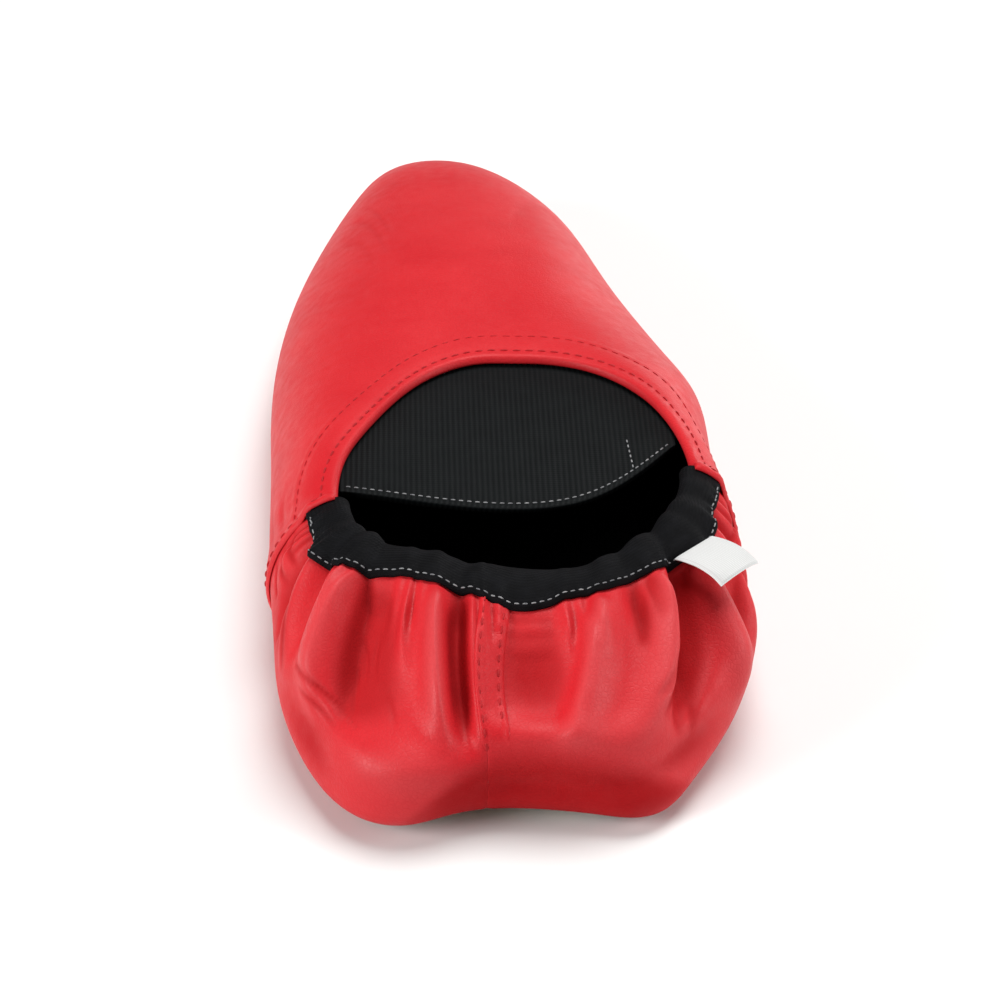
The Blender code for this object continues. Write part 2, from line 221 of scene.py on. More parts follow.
# Fine creases: ring place and wall height of the start, middle and end, half width in mm, rise in mm
CREASES = (
    (-1.76, 0.47, -1.42, 0.48, -1.02, 0.425, 0.5, -0.5),
    (-1.26, 0.58, -1.2, 0.52, -1.1, 0.455, 0.5, -0.46),
    (-1.6, 0.43, -1.4, 0.43, -1.2, 0.4, 0.5, -0.34),
    (-1.1, 0.7, -1.09, 0.63, -1.03, 0.56, 0.62, -0.42),
    (-1.3, 0.66, -1.2, 0.62, -1.16, 0.56, 0.62, -0.4),
    (-0.98, 0.56, -0.86, 0.52, -0.8, 0.46, 0.62, -0.38),
    (0.02, 0.792, 0.3, 0.782, 0.62, 0.79, 0.9, -0.26),
    (0.05, 0.735, 0.32, 0.728, 0.64, 0.742, 1.0, -0.28),
    (0.16, 0.672, 0.4, 0.664, 0.6, 0.676, 1.0, -0.22),
    (1.34, 0.84, 1.31, 0.76, 1.24, 0.65, 1.1, -0.8),
    (1.48, 0.84, 1.46, 0.78, 1.41, 0.7, 1.0, -0.7),
    (1.22, 0.5, 1.36, 0.54, 1.46, 0.59, 0.62, -0.56),
    (1.24, 0.45, 1.36, 0.49, 1.46, 0.53, 0.62, -0.54),
    (1.44, 0.56, 1.38, 0.46, 1.38, 0.36, 0.9, -0.4),
    (1.6, 0.5, 1.52, 0.42, 1.5, 0.33, 0.9, -0.34),
    (1.74, 0.62, 1.62, 0.56, 1.58, 0.48, 0.62, -0.42),
    (2.36, 0.66, 2.22, 0.56, 2.16, 0.43, 1.0, -0.42),
    (2.66, 0.62, 2.5, 0.5, 2.42, 0.36, 1.0, -0.4),
    (-2.24, 0.64, -2.06, 0.52, -1.98, 0.4, 1.0, -0.42),
    (-2.62, 0.6, -2.44, 0.48, -2.36, 0.35, 1.0, -0.4),
    (-2.91, 0.62, -2.9, 0.76, -2.88, 0.92, 0.7, -0.55),
    (-2.81, 0.66, -2.78, 0.78, -2.76, 0.9, 0.7, -0.5),
    (-2.69, 0.68, -2.66, 0.78, -2.62, 0.88, 0.7, -0.45),
    (2.9, 0.6, 2.89, 0.74, 2.87, 0.9, 0.7, -0.55),
    (2.79, 0.64, 2.76, 0.76, 2.72, 0.88, 0.7, -0.5),
    (2.66, 0.66, 2.63, 0.76, 2.58, 0.86, 0.7, -0.45),
    (-2.97, 0.73, -2.78, 0.68, -2.56, 0.66, 0.9, -0.46),
    (-2.97, 0.64, -2.8, 0.59, -2.6, 0.57, 0.9, -0.42),
    (-2.97, 0.54, -2.82, 0.49, -2.68, 0.47, 0.7, -0.44),
    (2.96, 0.73, 2.8, 0.69, 2.6, 0.68, 0.9, -0.46),
    (2.96, 0.63, 2.8, 0.59, 2.64, 0.58, 0.9, -0.42),
    (2.96, 0.53, 2.82, 0.49, 2.7, 0.48, 0.7, -0.44),
    (9.36, 0.48, 9.22, 0.56, 9.2, 0.68, 1.1, -0.34),
    (9.14, 0.46, 9.04, 0.55, 9.02, 0.64, 1.0, -0.28),
    (9.62, 0.5, 9.46, 0.6, 9.48, 0.7, 1.2, -0.26),
    (6.6, 0.44, 6.86, 0.52, 7.04, 0.62, 1.4, -0.24),
    (3.2, 0.64, 3.42, 0.6, 3.7, 0.6, 1.2, -0.34),
    (3.18, 0.52, 3.44, 0.47, 3.72, 0.45, 1.2, -0.3),
    (12.82, 0.66, 12.58, 0.61, 12.34, 0.61, 1.2, -0.34),
    (12.84, 0.54, 12.56, 0.48, 12.3, 0.46, 1.2, -0.3),
)

# Steps along a crease, and millimetres that a ring place and a whole wall height stand for beside it
CREASE_STEPS = 24
RING_RUN = 21.0
WALL_RUN = 46.0

# Broad dents and swells of the leather: ring place, wall height, half width, half height, rise in mm
DENTS = {
    "heel_dish": (0.42, 0.62, 0.34, 0.15, -2.4),
    "heel_crest": (0.45, 0.43, 0.5, 0.06, 2.0),
    "belly_in": (-0.68, 0.32, 0.44, 0.09, 2.3),
    "belly_out": (1.1, 0.38, 0.5, 0.08, 1.3),
    "heel_hollow": (0.4, 0.2, 0.6, 0.12, -3.2),
    "heel_foot_out": (1.2, 0.13, 0.32, 0.11, 2.0),
    "heel_foot_in": (-0.7, 0.12, 0.38, 0.11, 1.2),
    "toe_in": (9.3, 0.36, 0.9, 0.36, -1.7),
    "toe_out": (7.0, 0.36, 0.6, 0.36, -1.2),
    "toe_top": (8.0, 0.62, 1.1, 0.16, -0.9),
    "side_out": (5.7, 0.36, 0.5, 0.34, -1.1),
    "shoulder_out": (4.6, 0.46, 0.4, 0.3, 1.4),
    "seam_out": (3.2, 0.5, 0.6, 0.28, -3.4),
    "waist_out": (3.95, 0.5, 0.42, 0.28, -1.8),
    "quarter_out": (2.1, 0.42, 0.4, 0.2, 1.3),
    "corner_out": (1.45, 0.29, 0.35, 0.11, -2.1),
    "corner_in": (-1.5, 0.29, 0.4, 0.11, -1.9),
    "quarter_in": (-2.45, 0.46, 0.5, 0.25, -1.2),
    "waist_in": (11.6, 0.45, 0.6, 0.3, -0.6),
}

# Stitches: pitch, share of it that shows, how far the ends sink, half thickness of the thread, and groove
STITCH = 2.3 * MM
STITCH_SHARE = 0.70
STITCH_SAG = 0.7
THREAD = 0.18 * MM
FINE_STITCH = 1.4 * MM
FINE_THREAD = 0.13 * MM
GROOVE = 0.16 * MM
GROOVE_HALF = 0.9 * MM

# Rows of the throat: depth, half thickness and raised share of the thread, and bare ring places at the ends
THROAT_ROWS = (2.4 * MM, 7.6 * MM)
THROAT_THREADS = (0.18 * MM, 0.11 * MM)
THROAT_THREAD_UP = 0.5
THROAT_STITCH_END = 0.12

# Rows of the back strip and the side seams: groove, distance from the edge, rise, and ends' wall heights
STRIP_GROOVE = 0.7 * GROOVE
STRIP_GROOVE_IN = 1.3 * MM
STRIP_GROOVE_HALF = 0.5 * MM
STRIP_STITCH_IN = 0.055
STRIP_STITCH_UP = 0.4 * THREAD - 0.5 * GROOVE
STRIP_STITCH_TOP = 0.86
STRIP_ROWS = {"inner": (STRIP_LEFT + STRIP_STITCH_IN, 0.36), "outer": (STRIP_RIGHT - STRIP_STITCH_IN, 0.46)}
SIDE_GROOVE_IN = 2.4 * MM
SIDE_STITCH_IN = 0.085
SIDE_STITCH_UP = 0.4 * THREAD - 0.7 * GROOVE
SIDE_STITCH_LOW = 0.06
SIDE_STITCH_TOP = 0.93
SIDE_ROWS = {"outer": SEAM_OUT + SIDE_STITCH_IN, "inner": SEAM_IN - SIDE_STITCH_IN}

# Turned edge of the throat, and edges of the leather: radius, share of the thickness left, crowding of rows
TURNED_EDGE = 8.0 * MM
TURNED_RUN = 1.6 * MM
TURNED_RISE = 0.22 * MM
EDGE_ROUND = 1.0 * MM
EDGE_LEFT = 0.25
EDGE_CROWDING = 1.35
VAMP_THINNEST = 0.5 * WALL

# Binding: thickness, edge, depth outside and inside, stitches, and mm that it hangs deeper at ring places
TAPE = 0.9 * MM
TAPE_ROUND = 0.6 * MM
BINDING_DEPTH = 6.2 * MM
BINDING_INSIDE = 6.5 * MM
BINDING_STITCH_IN = 0.8 * MM
BINDING_STITCH_END = 0.06
BINDING_END = -0.09
SCALLOPS = {
    -2.8: -1.2, -2.1: 1.4, -1.5: 0.6, -0.9: -0.4, -0.2: 0.2, 0.36: 1.8,
    0.8: -0.6, 1.3: -0.5, 1.7: 0.4, 2.12: 1.5, 2.6: -1.6,
}

# Label, with the wall heights and steps of the leather that may lie under it
LABEL_FROM = 1.76
LABEL_TO = 2.17
LABEL_TUCK = 0.6 * MM
LABEL_NEAR = 0.5 * MM
LABEL_DROP = 9.3 * MM
LABEL_FLARE = 3.4 * MM
LABEL_CURL = 1.3 * MM
LABEL_BULGE = 1.1 * MM
LABEL_SLANT = 0.22
LABEL_THICK = 0.9 * MM
LABEL_OVER_LOW = 0.5
LABEL_OVER_TOP = 0.9
LABEL_STEPS = 40

# Elastic gusset
GUSSET_OUT = 3.8
GUSSET_IN = 12.3
GUSSET_THICK = 1.0 * MM
GUSSET_MARGIN = 6.0 * MM
GUSSET_SAG = 12.5 * MM
BOW_SKEW = 0.68
BOW_OUT = 1.7
BOW_IN = 1.1
GUSSET_DIP = 1.2 * MM
GUSSET_END_CLEAR = 2.0 * MM
GUSSET_HEM = 2.4 * MM
GUSSET_HEM_RUN = 0.5 * MM
GUSSET_HEM_MORE = 0.5
GUSSET_EDGE_LEFT = 0.2
GUSSET_STITCH_IN = 1.6 * MM
GUSSET_BARE_COLUMNS = 4
GUSSET_TACK_AT = 0.13
GUSSET_TACK = 11.0 * MM

# Camera at the photograph's spot, aimed at the one shoe. Pixels are of the photograph's 1001 px frame
PHOTO_SIZE = 1001
PHOTO_FOCAL = 1450
SENSOR = 36.0
CAMERA_SPOT = Vector((-15.6, -499.5, 320.6)) * MM
CAMERA_AIM = Vector((-1.0, -24.0, 12.0)) * MM
CAMERA_ZOOM = 2.15
CAMERA_CLIP = 0.01

# Studio, in metres and watts: floor's half width, the lamps' aim, and each lamp's spot, diameter and power
FLOOR_HALF = 3.0
LAMP_AIM = (0.0, 0.0, 0.02)
LAMPS = {
    "top": ((0.16, 0.20, 1.10), 0.8, 12.0),
    "right": ((0.98, -0.20, 0.38), 0.6, 5.4),
    "left": ((-0.92, -0.48, 0.42), 0.5, 9.8),
    "rim": ((0.60, 1.00, 0.28), 0.6, 2.6),
}
WORLD_STRENGTH = 0.12


def smooth(t):
    """Soft step from 0 to 1."""
    t = np.clip(t, 0, 1)
    return t * t * (3 - 2 * t)


def bell(t):
    """Soft bump that is 1 at 0."""
    return np.exp(-t * t)


def arch(t):
    """Bow that is 0 at 0 and at 1, and 1 halfway."""
    return 4 * t * (1 - t)


def bowed(start, middle, end, share):
    """Value on a bow that runs from a start over a middle to an end."""
    return start + (end - start) * share + (middle - (start + end) / 2) * arch(share)


def unit(vectors):
    return vectors / np.linalg.norm(vectors, axis=-1, keepdims=True)


def near_place(place):
    """Ring place counted from the back seam, from -8 to 8."""
    return (place + ROWS / 2) % ROWS - ROWS / 2


# Plain wall of the upper


def closed_bends(rows):
    """Second differences of the closed cubic curve through evenly spaced rows."""
    eye = np.eye(len(rows))
    system = 4 * eye + np.roll(eye, 1, 0) + np.roll(eye, -1, 0)
    return np.linalg.solve(system, 6 * (np.roll(rows, -1, 0) - 2 * rows + np.roll(rows, 1, 0)))


BENDS = closed_bends(TABLE)


def section_at(place):
    """Section values at ring places, with their slope along the ring."""
    first = np.floor(place).astype(int) % ROWS
    after = (first + 1) % ROWS
    t = (place - np.floor(place))[..., None]
    s = 1 - t
    a, b, bend_a, bend_b = TABLE[first], TABLE[after], BENDS[first], BENDS[after]
    value = s * a + t * b + ((s ** 3 - s) * bend_a + (t ** 3 - t) * bend_b) / 6
    slope = b - a + ((1 - 3 * s ** 2) * bend_a + (3 * t ** 2 - 1) * bend_b) / 6
    return value, slope


def sole_lift(x, y):
    """Height of the sole's underside: toe spring, arch of the inner side and the heel's curled edge."""
    along = y / LENGTH
    toe = np.clip((along - TOE_BREAK) / (1 - TOE_BREAK), 0, 1) ** 2
    waist = smooth(1 - np.abs(along - ARCH_PLACE) / ARCH_SPREAD) * smooth(ARCH_FADES_AT - x / BALL_WIDTH)
    heel = np.clip((HEEL_BREAK - along) / (HEEL_BREAK - HEEL_END), 0, 1) ** 2
    heel = heel * np.clip(1 - (x / (HEEL_CURL_WIDTH * BALL_WIDTH)) ** 2, 0, 1)
    return TOE_SPRING * toe + ARCH_RISE * waist + HEEL_CURL * heel


def over_sole(plan, rise):
    """Plan points at a height above the sole's underside."""
    height = sole_lift(plan[..., 0], plan[..., 1]) + rise
    return np.concatenate([plan, height[..., None]], -1)


def foot_line(place, inset=0.0):
    """Sole's edge in plan at ring places, and the outward direction there."""
    value, slope = section_at(np.asarray(place, float))
    run = np.hypot(slope[..., 0], slope[..., 1])
    outward = np.stack([slope[..., 1], -slope[..., 0]], -1) / run[..., None]
    return value[..., :2] - inset * outward, outward


def plain_wall(place, height):
    """Lining face without folds: from the sole's edge out over the belly and in to the opening's edge."""
    place, height = np.broadcast_arrays(np.asarray(place, float), np.asarray(height, float))
    value = section_at(place)[0]
    out, up, edge_x, edge_y, edge_z, reach, swell, rise = np.moveaxis(value[..., 2:], -1, 0)
    foot, outward = foot_line(place)
    rim_height = HEEL_HEIGHT + (INSTEP_HEIGHT - HEEL_HEIGHT) * smooth(edge_y / THROAT_PLACE)
    start = over_sole(foot, RIM_RISE)
    belly = start + np.concatenate([outward * out[..., None], up[..., None]], -1)
    end = np.stack([edge_x, edge_y, edge_z * rim_height], -1)
    brow = end + (start - end) * reach[..., None]
    brow[..., :2] += outward * swell[..., None]
    brow[..., 2] = end[..., 2] + rise
    t = height[..., None]
    s = 1 - t
    return s ** 3 * start + 3 * s * s * t * belly + 3 * s * t * t * brow + t ** 3 * end


def wall_axes(place, height, step=1e-3):
    """Outward and upward unit directions of the plain wall."""
    place = np.asarray(place, float)
    along = plain_wall(place + step, height) - plain_wall(place - step, height)
    upward = plain_wall(place, height + step) - plain_wall(place, height - step)
    return unit(np.cross(along, upward)), unit(upward)


def on_wall(place, height, offset):
    """Points at a distance outward from the plain wall."""
    place, height, offset = np.broadcast_arrays(place, height, offset)
    return plain_wall(place, height) + offset[..., None] * wall_axes(place, height)[0]


def run_from(points, axis, last=False):
    """Distance along a grid's columns or rows from its first, or last, line."""
    steps = np.linalg.norm(np.diff(points, axis=axis), axis=-1)
    zero = np.zeros_like(np.take(steps, [0], axis=axis))
    run = np.concatenate([zero, np.cumsum(steps, axis=axis)], axis)
    return np.take(run, [-1], axis=axis) - run if last else run


def from_sides(points, axis):
    """Distance along a grid's columns or rows from the nearer of its first and last line."""
    return np.minimum(run_from(points, axis), run_from(points, axis, last=True))


def throat_cut(place):
    """How far the throat's edge is cut back along the wall at ring places."""
    return sum(cut * MM * bell(near_place(place - middle) / half) for middle, half, cut in THROAT_CUTS)


def edge_depths(place):
    """Function from a depth below the opening's edge, measured along the wall, to the wall height there."""
    heights = np.linspace(1.0, DEPTH_END, DEPTH_STEPS)
    line = plain_wall(place[:, None], heights[None, :])
    run = run_from(line, 1)

    def height_at(depth):
        depth = np.broadcast_to(depth, place.shape) + throat_cut(place)
        return np.array([np.interp(d, row, heights) for d, row in zip(depth, run)])

    return height_at


# Relief of the leather


def gather_relief(place, height):
    """Gathers that hang from the elastic collar."""
    near = near_place(place)
    total = np.zeros(np.broadcast(place, height).shape)
    for top, halfway, foot, low, left, right, rise in GATHERS.values():
        share = np.clip((height - low) / (1 - low), 0, 1)
        away = near - bowed(foot, halfway, top, share)
        width = np.where(away < 0, left, right)
        total += rise * MM * bell(away / width) * smooth((height - low) / GATHER_RUN_OUT)
    calm = 1 - (1 - CALM_TO) * smooth((height - CALM_FROM) / CALM_RUN)
    return total * calm


def pucker_relief(place, height):
    """Short pleats that the binding's stitches draw in."""
    near = near_place(place)
    phase = near / PUCKER_WAVE + PUCKER_SWAY * np.sin(2 * np.pi * near / PUCKER_DRIFT)
    return PUCKER_RISE * np.cos(2 * np.pi * phase) * bell((height - PUCKER_HEIGHT) / PUCKER_SPREAD)


def crease_relief(place, height):
    """Fine creases, each a soft bowed line that runs out at both ends."""
    total = np.zeros(np.broadcast(place, height).shape)
    share = np.linspace(0, 1, CREASE_STEPS)
    fade = np.sqrt(np.sin(np.pi * share))
    for u0, v0, u1, v1, u2, v2, half, rise in CREASES:
        across = bowed(u0, u1, u2, share) * RING_RUN
        up = bowed(v0, v1, v2, share) * WALL_RUN
        around = (near_place(place - u1) + u1) * RING_RUN
        depth = np.zeros(total.shape)
        for k in range(CREASE_STEPS):
            away = np.hypot(around - across[k], height * WALL_RUN - up[k])
            depth = np.maximum(depth, fade[k] * bell(away / half))
        total += rise * MM * depth
    return total


def dent_relief(place, height):
    """Broad dents and swells of the leather."""
    total = np.zeros(np.broadcast(place, height).shape)
    for middle, up, half, half_up, rise in DENTS.values():
        total += rise * MM * bell(near_place(place - middle) / half) * bell((height - up) / half_up)
    return total


def rounded(distance, radius, left=0.0):
    """Share of a sheet's thickness near its rounded edge, with some of it left at the edge itself."""
    inside = np.clip(1 - distance / radius, 0, 1)
    return left + (1 - left) * np.sqrt(1 - inside ** 2)


# Meshes


def placed(name, data):
    """New object in the scene."""
    obj = bpy.data.objects.new(name, data)
    bpy.context.scene.collection.objects.link(obj)
    return obj


def mesh_object(name, points, faces, material):
    """Visible piece from points in the source's axes, moved to the frame's."""
    mesh = bpy.data.meshes.new(name)
    mesh.from_pydata((points - MIDDLE).tolist(), [], faces)
    mesh.validate()
    mesh.shade_smooth()
    mesh.materials.append(material)
    obj = placed(name, mesh)
    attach(obj, "root")
    return obj


def closed_sheet(name, node, outer, inner, material, slot, **measures):
    """Closed solid between an outer and an inner grid of points, in place of a node's solid."""
    columns, rows = outer.shape[:2]
    count = columns * rows
    index = np.arange(count).reshape(columns, rows)
    a, b, c, d = index[:-1, :-1], index[1:, :-1], index[1:, 1:], index[:-1, 1:]
    faces = [np.stack([a, b, c, d], -1).reshape(-1, 4), np.stack([d, c, b, a], -1).reshape(-1, 4) + count]
    for line in (index[::-1, 0], index[:, -1], index[0, :], index[-1, ::-1]):
        faces.append(np.stack([line[:-1], line[1:], line[1:] + count, line[:-1] + count], -1))
    points = np.concatenate([outer.reshape(-1, 3), inner.reshape(-1, 3)])
    obj = mesh_object(name, points, np.concatenate(faces).tolist(), material)
    for key, values in measures.items():
        layer = obj.data.attributes.new(key, "FLOAT", "POINT")
        flat = np.broadcast_to(values, (columns, rows)).reshape(-1)
        layer.data.foreach_set("value", np.concatenate([flat, flat]).astype(np.float32))
    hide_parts(node)


def thread_shape(around=8, along=7, bluntness=4, tip=0.02):
    """Unit stitch: a rounded bar along x."""
    angle = np.linspace(0, 2 * np.pi, around, endpoint=False)
    ends = np.linspace(-1, 1, along)
    girth = np.sqrt(np.clip(1 - np.abs(ends) ** bluntness, tip, 1))
    ring = np.stack([np.zeros(around), np.cos(angle), np.sin(angle)], -1)
    points = ring[None] * girth[:, None, None]
    points[..., 0] = ends[:, None]
    index = np.arange(along * around).reshape(along, around)
    turned = np.roll(index, -1, 1)
    faces = np.stack([index[:-1], turned[:-1], turned[1:], index[1:]], -1).reshape(-1, 4).tolist()
    faces.append(index[0, ::-1].tolist())
    faces.append(index[-1].tolist())
    return points.reshape(-1, 3), faces


def along_path(values, run, distance):
    """Values of a path's points at distances along it."""
    return np.stack([np.interp(distance, run, values[:, k]) for k in range(3)], -1)


def stitch_row(name, path, normal, material, slot, pitch=STITCH, thread=THREAD):
    """Row of stitches that lies on a surface along a path."""
    shape, shape_faces = thread_shape()
    run = run_from(path, 0)
    count = int(run[-1] / pitch)
    middles = (np.arange(count) + 0.5) * run[-1] / count
    half = pitch * STITCH_SHARE / 2
    along = unit(along_path(path, run, middles + half) - along_path(path, run, middles - half))[:, None]
    raised = unit(along_path(normal, run, middles))[:, None]
    side = unit(np.cross(raised, along))
    bars = shape[:, :1] * half * along + shape[:, 1:2] * thread * side
    bars = bars + (shape[:, 2:] - STITCH_SAG * shape[:, :1] ** 2) * thread * raised
    bars = bars + along_path(path, run, middles)[:, None]
    faces = [[corner + k * len(shape) for corner in face] for k in range(count) for face in shape_faces]
    mesh_object(name, bars.reshape(-1, 3), faces, material)


def wall_stitches(name, place, height, offset, material, slot="red_leather", **sizes):
    """Row of stitches at a distance outward from the plain wall."""
    stitch_row(name, on_wall(place, height, offset), wall_axes(place, height)[0], material, slot, **sizes)


# Materials


class Surface:
    """Material under construction: its nodes, links and shader."""

    def __init__(self, name, roughness, **sockets):
        self.made = bpy.data.materials.new(name)
        self.made.use_nodes = True
        self.tree = self.made.node_tree
        self.shader = self.tree.nodes["Principled BSDF"]
        self.shader.inputs["Roughness"].default_value = roughness
        for key, value in sockets.items():
            self.shader.inputs[key.replace("_", " ")].default_value = value
        self.place = self.node("ShaderNodeTexCoord").outputs["Object"]

    def node(self, kind, inputs=(), **settings):
        """New node with its settings, and with named inputs set or linked."""
        made = self.tree.nodes.new(kind)
        for key, value in settings.items():
            setattr(made, key, value)
        for key, value in dict(inputs).items():
            self.feed(made.inputs[key], value)
        return made

    def feed(self, socket, value):
        if isinstance(value, bpy.types.NodeSocket):
            self.tree.links.new(value, socket)
        else:
            socket.default_value = value

    def noise(self, scale, detail=3.0, distortion=0.0):
        inputs = {"Vector": self.place, "Scale": scale, "Detail": detail, "Distortion": distortion}
        return self.node("ShaderNodeTexNoise", inputs).outputs["Fac"]

    def cells(self, scale):
        """Distance to the borders of a leather-like net of cells."""
        inputs = {"Vector": self.place, "Scale": scale}
        return self.node("ShaderNodeTexVoronoi", inputs, feature="DISTANCE_TO_EDGE").outputs["Distance"]

    def measure(self, name):
        return self.node("ShaderNodeAttribute", attribute_name=name).outputs["Fac"]

    def maths(self, operation, *values):
        return self.node("ShaderNodeMath", enumerate(values), operation=operation).outputs[0]

    def ribs(self, name, pitch):
        """Ribs from 0 to 1 along a measure in metres."""
        turn = self.maths("MULTIPLY", self.measure(name), 2 * np.pi / pitch)
        return self.maths("MULTIPLY_ADD", self.maths("SINE", turn), 0.5, 0.5)

    def weave(self, along, across):
        """Plain weave from 0 to 1, with its pitch along and across the piece."""
        return self.maths("MULTIPLY", self.ribs("along", along), self.ribs("across", across))

    def ramp(self, source, low, high, to_low=0.0, to_high=1.0):
        inputs = {"Value": source, "From Min": low, "From Max": high, "To Min": to_low, "To Max": to_high}
        return self.node("ShaderNodeMapRange", inputs).outputs["Result"]

    def mix(self, share, *tones):
        """Colour between two colours, each a tuple or a socket."""
        made = self.node("ShaderNodeMix", {"Factor": share}, data_type="RGBA")
        for socket, tone in zip(made.inputs[6:8], tones):
            self.feed(socket, (*tone, 1.0) if isinstance(tone, tuple) else tone)
        return made.outputs[2]

    def colour(self, source):
        self.feed(self.shader.inputs["Base Color"], source)

    def roughness(self, source):
        self.feed(self.shader.inputs["Roughness"], source)

    def bump(self, source, distance, strength=1.0):
        """Fine relief, on top of any bump that is there already."""
        made = self.node("ShaderNodeBump", {"Height": source, "Distance": distance, "Strength": strength})
        slot = self.shader.inputs["Normal"]
        if slot.is_linked:
            self.feed(made.inputs["Normal"], slot.links[0].from_socket)
        self.feed(slot, made.outputs["Normal"])


def red_leather():
    """Soft satin nappa: fine net of grain, soft mottling, painted shade in hollows and creases, painted
    highlight on ridges.
    """
    s = Surface("red_nappa", 0.46, Specular_IOR_Level=0.22)
    mottle = s.ramp(s.noise(55, 4), 0.35, 0.65)
    tone = s.mix(mottle, (0.550, 0.013, 0.019), (0.600, 0.020, 0.026))
    # Painted shade: deep red mixed in along the gathers' hollows, the fine creases and the heel's lowest band
    hollow = s.measure("hollow")
    tone = s.mix(s.ramp(hollow, 0.0, 1.0, 0.0, 0.85), tone, (0.330, 0.0005, 0.002))
    # Painted highlight: a paler, pinker tone on the ridges in place of their sheen
    tone = s.mix(s.ramp(s.measure("ridge"), 0.0, 1.0, 0.0, 0.8), tone, (0.600, 0.050, 0.056))
    grain = s.cells(1250)
    tone = s.mix(s.ramp(grain, 0.0, 0.12, 0.16, 0.0), tone, (0.42, 0.004, 0.009))
    s.colour(tone)
    satin = s.ramp(s.noise(420, 3), 0.3, 0.7, 0.42, 0.54)
    s.roughness(s.maths("MULTIPLY_ADD", hollow, 0.40, satin))
    s.bump(s.noise(150, 4, 0.6), 0.25 * MM, 0.28)
    s.bump(s.ramp(grain, 0.0, 0.16), 0.05 * MM, 0.42)
    return s.made


def sewing_thread(name, roughness, level, mottle, dark, pale):
    """Twisted thread, mottled between two tones."""
    s = Surface(name, roughness, Specular_IOR_Level=level)
    s.colour(s.mix(s.ramp(s.noise(mottle, 2), 0.3, 0.7), dark, pale))
    s.bump(s.noise(4200, 2), 0.05 * MM, 0.6)
    return s.made


def ribbed_elastic():
    """Charcoal elastic with fine ribs from heel to toe and a woven cross thread."""
    s = Surface("charcoal_elastic", 0.68, Specular_IOR_Level=0.10)
    ribs = s.ribs("across", 0.95 * MM)
    picks = s.ribs("along", 0.6 * MM)
    tone = s.mix(s.ramp(ribs, 0.0, 1.0), (0.0014, 0.0021, 0.0024), (0.0034, 0.0046, 0.0050))
    tone = s.mix(s.ramp(s.noise(240, 3), 0.3, 0.7, 0.0, 0.5), tone, (0.0048, 0.0062, 0.0066))
    s.colour(tone)
    s.roughness(s.ramp(ribs, 0.0, 1.0, 0.74, 0.55))
    s.bump(s.maths("MULTIPLY_ADD", picks, 0.2, ribs), 0.14 * MM, 0.45)
    return s.made


def black_tape():
    """Soft elastic binding: fine lengthwise and crosswise threads with a dull nap."""
    s = Surface("black_tape", 0.74, Specular_IOR_Level=0.10)
    threads = s.weave(0.55 * MM, 0.7 * MM)
    tone = s.mix(s.ramp(threads, 0.0, 1.0), (0.0014, 0.0014, 0.0019), (0.0036, 0.0036, 0.0046))
    tone = s.mix(s.ramp(s.noise(380, 4), 0.45, 0.75, 0.0, 0.6), tone, (0.0064, 0.0065, 0.0080))
    s.colour(tone)
    s.bump(threads, 0.12 * MM, 0.6)
    s.bump(s.noise(900, 3), 0.10 * MM, 0.4)
    return s.made


def black_cloth(name, pitch):
    """Black lining and sock: plain weave along and across the piece."""
    s = Surface(name, 0.88, Specular_IOR_Level=0.25)
    threads = s.weave(pitch, pitch)
    s.colour(s.mix(s.ramp(threads, 0.0, 1.0), (0.002, 0.002, 0.003), (0.007, 0.007, 0.008)))
    s.bump(threads, 0.12 * MM, 0.6)
    return s.made


def suede():
    """Split suede of the sole: brushed nap with cloudy tone."""
    s = Surface("sole_suede", 0.92, Sheen_Weight=0.35, Sheen_Roughness=0.6, Specular_IOR_Level=0.2)
    cloud = s.ramp(s.noise(70, 5, 1.2), 0.35, 0.65)
    tone = s.mix(cloud, (0.33, 0.245, 0.165), (0.46, 0.355, 0.255))
    tone = s.mix(s.ramp(s.noise(1600, 2), 0.35, 0.7, 0.0, 0.5), tone, (0.25, 0.18, 0.12))
    s.colour(tone)
    s.bump(s.noise(1900, 3), 0.14 * MM, 0.7)
    s.bump(s.noise(260, 4, 0.8), 0.15 * MM, 0.4)
    return s.made


def label_tape():
    """Blank white woven label."""
    s = Surface("label_tape", 0.6, Sheen_Weight=0.2)
    threads = s.weave(0.4 * MM, 0.3 * MM)
    s.colour(s.mix(s.ramp(threads, 0.0, 1.0), (0.57, 0.57, 0.56), (0.70, 0.70, 0.69)))
    s.bump(threads, 0.06 * MM, 0.6)
    return s.made


# Leather panels


def back_groove(place):
    """Depth of the groove where the two quarters meet."""
    return BACK_GROOVE * bell((near_place(place) - BACK_SEAM) / BACK_GROOVE_HALF)


def quarter_offsets(place, height):
    """Outer and inner offset of the quarters' leather from the plain wall."""
    broad = gather_relief(place, height) + dent_relief(place, height)
    fine = pucker_relief(place, height) + crease_relief(place, height)
    return WALL + broad + fine - back_groove(place), np.where(broad > 0, GATHER_INSIDE, 1.0) * broad


def hollow_of(relief):
    """How deep a gather lies, from 0 to 1, for the painted shade in the gathers' hollows."""
    return HOLLOW_SHADE * smooth((-relief - HOLLOW_SHADE_FROM) / HOLLOW_SHADE_RUN)


def ridge_of(relief):
    """How far the leather rises, from 0 to 1, for the painted highlight on the ridges."""
    return smooth((relief - HIGHLIGHT_FROM) / HIGHLIGHT_RUN)


def painted_low_shade(place, height):
    """Painted shade on the heel's lowest band, from 0 to 1."""
    across = np.abs(place - LOW_SHADE_AT) / LOW_SHADE_REACH
    top = LOW_SHADE_TOP * (1 - LOW_SHADE_BEND * np.clip(across, 0, 1) ** 2)
    sides = smooth(LOW_SHADE_SIDES * (1 - across))
    return LOW_SHADE * smooth(LOW_SHADE_CRISP * (1 - height / top)) * sides


def painted_crease_shade(place, height):
    """Painted shade in the fine creases, from 0 to 1."""
    return np.clip(-crease_relief(place, height) / CREASE_FULL, 0, 1)


